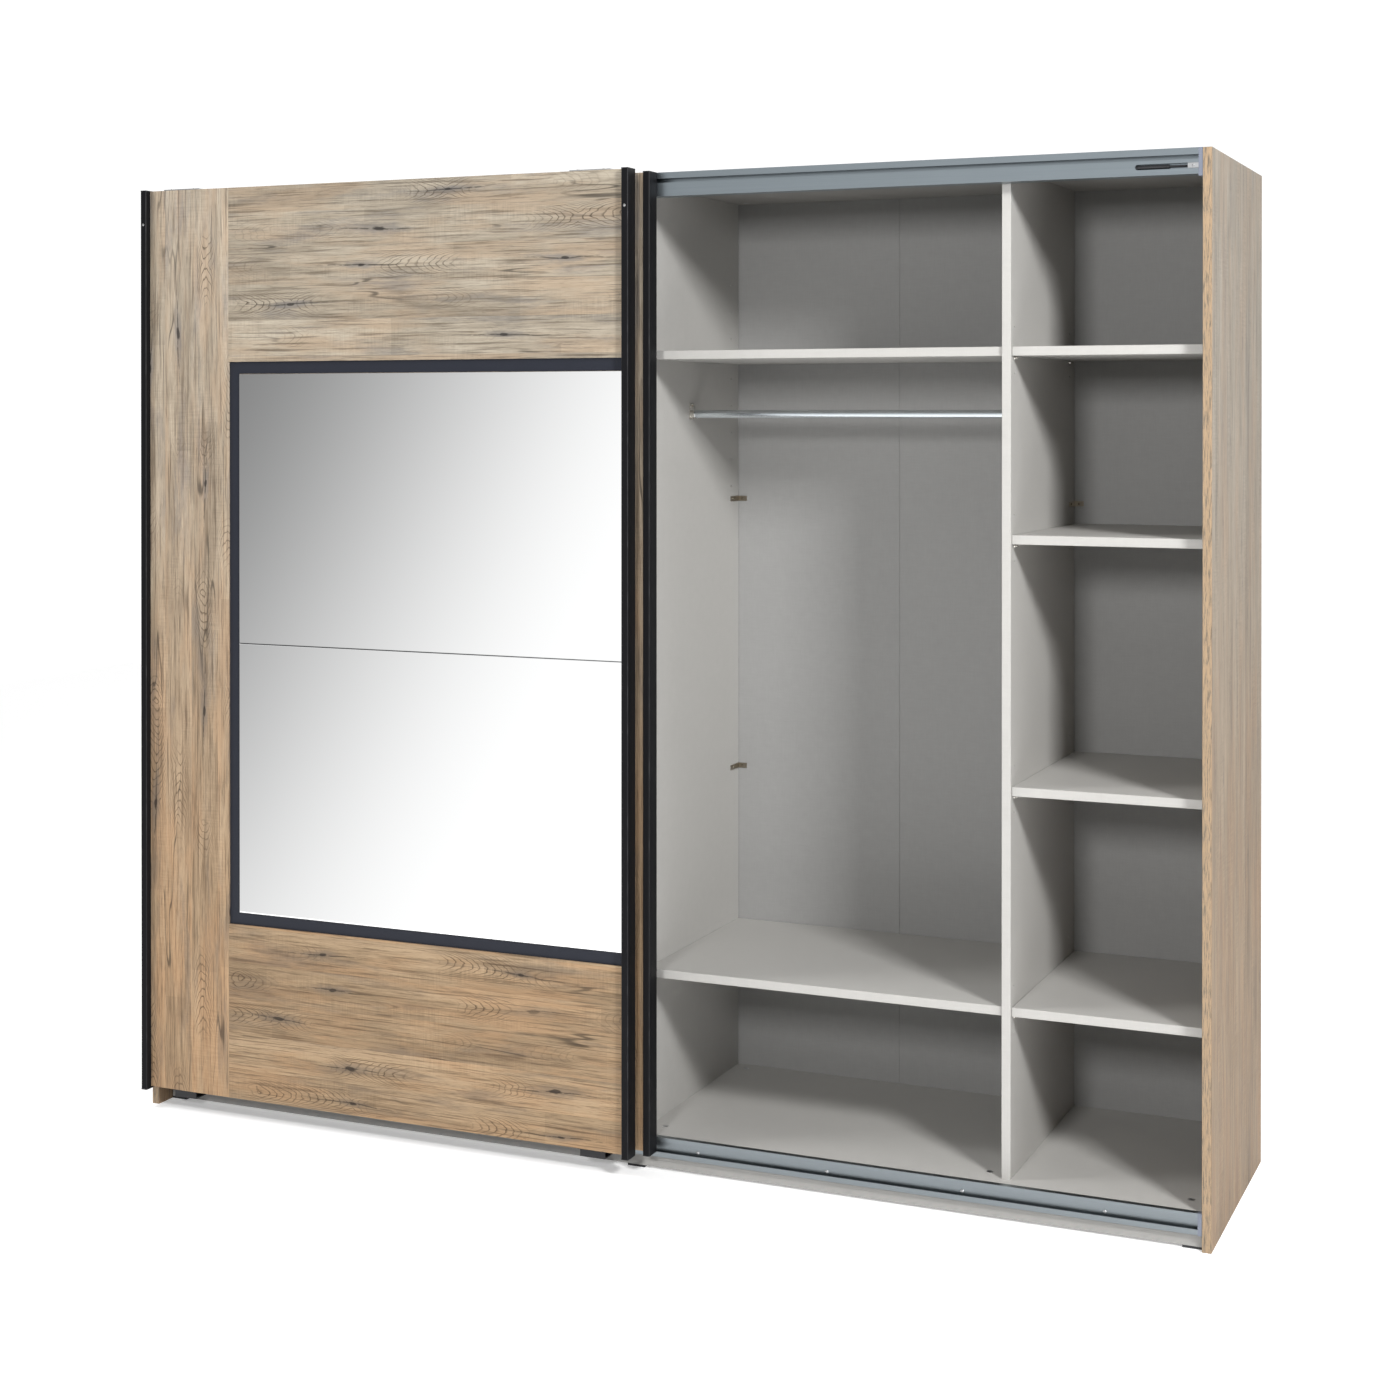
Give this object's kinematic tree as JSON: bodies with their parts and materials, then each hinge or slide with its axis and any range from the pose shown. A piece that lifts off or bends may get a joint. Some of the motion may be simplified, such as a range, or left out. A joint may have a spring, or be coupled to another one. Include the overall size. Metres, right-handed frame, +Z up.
{
  "type": "sliding door wardrobe",
  "caption": "Wide free-standing wardrobe with hung sliding doors that carry mirror panes between oak boards and dark edge trims, over a carcass of hanging and shelf compartments.",
  "frame": {"origin": "on the floor, in the middle of the footprint, doors pushed to the left", "axes": "+Z up, -Y out of the front, +X to the right of a person who faces the wardrobe"},
  "size_m": [2.5, 0.6706, 2.1782],
  "materials": {
    "oak": "weathered plank oak decor, matt",
    "melamine": "light grey melamine with a faint linen grain",
    "back": "light grey hardboard",
    "anthracite": "anthracite, satin",
    "carrier": "anthracite melamine",
    "mirror": "clear",
    "aluminium": "natural anodised, extruded",
    "grey_plastic": "grey",
    "black_plastic": "black",
    "white_nylon": "natural nylon",
    "steel": "zinc plated",
    "nickel": "nickel plated"
  },
  "bodies": {
    "carcass": {"left_side_panel": "oak", "right_side_panel": "oak", "middle_partition": "melamine", "left_divider": "melamine", "right_divider": "melamine", "top_panel": "melamine", "bottom_panel": "melamine", "cam_fittings": "steel", "plinth_front": "melamine", "plinth_frame": "melamine", "floor_glides": "black_plastic", "back_panels": "back", "back_joint_strips": "back", "back_clips": "nickel", "right_hat_shelf": "melamine", "right_base_shelf": "melamine", "left_fixed_shelves": "melamine", "left_loose_shelves": "melamine", "right_loose_shelves": "melamine", "shelf_pins": "nickel", "clothes_rods": "nickel", "rod_supports": "nickel", "top_rail": "aluminium", "bottom_rail": "aluminium", "rail_end_caps": "grey_plastic", "rail_screws": "steel", "damper_blocks": "steel", "damper_rods": "black_plastic"},
    "outer_door": {"outer_base_board": "carrier", "outer_stile_board": "oak", "outer_top_board": "oak", "outer_bottom_board": "oak", "outer_upper_mirror": "mirror", "outer_lower_mirror": "mirror", "outer_left_trim": "anthracite", "outer_right_trim": "anthracite", "outer_trim_caps": "black_plastic", "outer_hangers": "steel", "outer_axles": "steel", "outer_screws": "steel", "outer_guides": "black_plastic"},
    "inner_door": {"inner_base_board": "carrier", "inner_stile_board": "oak", "inner_top_board": "oak", "inner_bottom_board": "oak", "inner_upper_mirror": "mirror", "inner_lower_mirror": "mirror", "inner_left_trim": "anthracite", "inner_right_trim": "anthracite", "inner_trim_caps": "black_plastic", "inner_hangers": "steel", "inner_axles": "steel", "inner_screws": "steel", "inner_guides": "black_plastic"},
    "outer_left_wheel": {"outer_left_wheel": "white_nylon"},
    "outer_right_wheel": {"outer_right_wheel": "white_nylon"},
    "inner_left_wheel": {"inner_left_wheel": "white_nylon"},
    "inner_right_wheel": {"inner_right_wheel": "white_nylon"},
    "left_damper_cylinder": {"left_damper_cylinder": "black_plastic"},
    "right_damper_cylinder": {"right_damper_cylinder": "black_plastic"}
  },
  "joints": [
    {"name": "outer_door_slide", "type": "slide", "parent": "carcass", "child": "outer_door", "axis": [1, 0, 0], "range_m": [0, 1.225]},
    {"name": "outer_left_wheel_spin", "type": "hinge", "parent": "outer_door", "child": "outer_left_wheel", "pos_m": [-1.1485, -0.234, 2.152], "axis": [0, 1, 0], "range_deg": [0, 5402]},
    {"name": "outer_right_wheel_spin", "type": "hinge", "parent": "outer_door", "child": "outer_right_wheel", "pos_m": [-0.0765, -0.234, 2.152], "axis": [0, 1, 0], "range_deg": [0, 5402]},
    {"name": "inner_door_slide", "type": "slide", "parent": "carcass", "child": "inner_door", "axis": [1, 0, 0], "range_m": [0, 1.193]},
    {"name": "inner_left_wheel_spin", "type": "hinge", "parent": "inner_door", "child": "inner_left_wheel", "pos_m": [-1.1165, -0.234, 2.152], "axis": [0, 1, 0], "range_deg": [0, 5260]},
    {"name": "inner_right_wheel_spin", "type": "hinge", "parent": "inner_door", "child": "inner_right_wheel", "pos_m": [-0.0445, -0.234, 2.152], "axis": [0, 1, 0], "range_deg": [0, 5260]},
    {"name": "left_damper_slide", "type": "slide", "parent": "carcass", "child": "left_damper_cylinder", "axis": [-1, 0, 0], "range_m": [0, 0.036], "stiffness_N_per_m": 40},
    {"name": "right_damper_slide", "type": "slide", "parent": "carcass", "child": "right_damper_cylinder", "axis": [1, 0, 0], "range_m": [0, 0.036], "stiffness_N_per_m": 40}
  ],
  "couplings": [
    {"joint": "outer_left_wheel_spin", "follows": "outer_door_slide", "rad_per_m": 76.923},
    {"joint": "outer_right_wheel_spin", "follows": "outer_door_slide", "rad_per_m": 76.923},
    {"joint": "inner_left_wheel_spin", "follows": "inner_door_slide", "rad_per_m": 76.923},
    {"joint": "inner_right_wheel_spin", "follows": "inner_door_slide", "rad_per_m": 76.923}
  ]
}
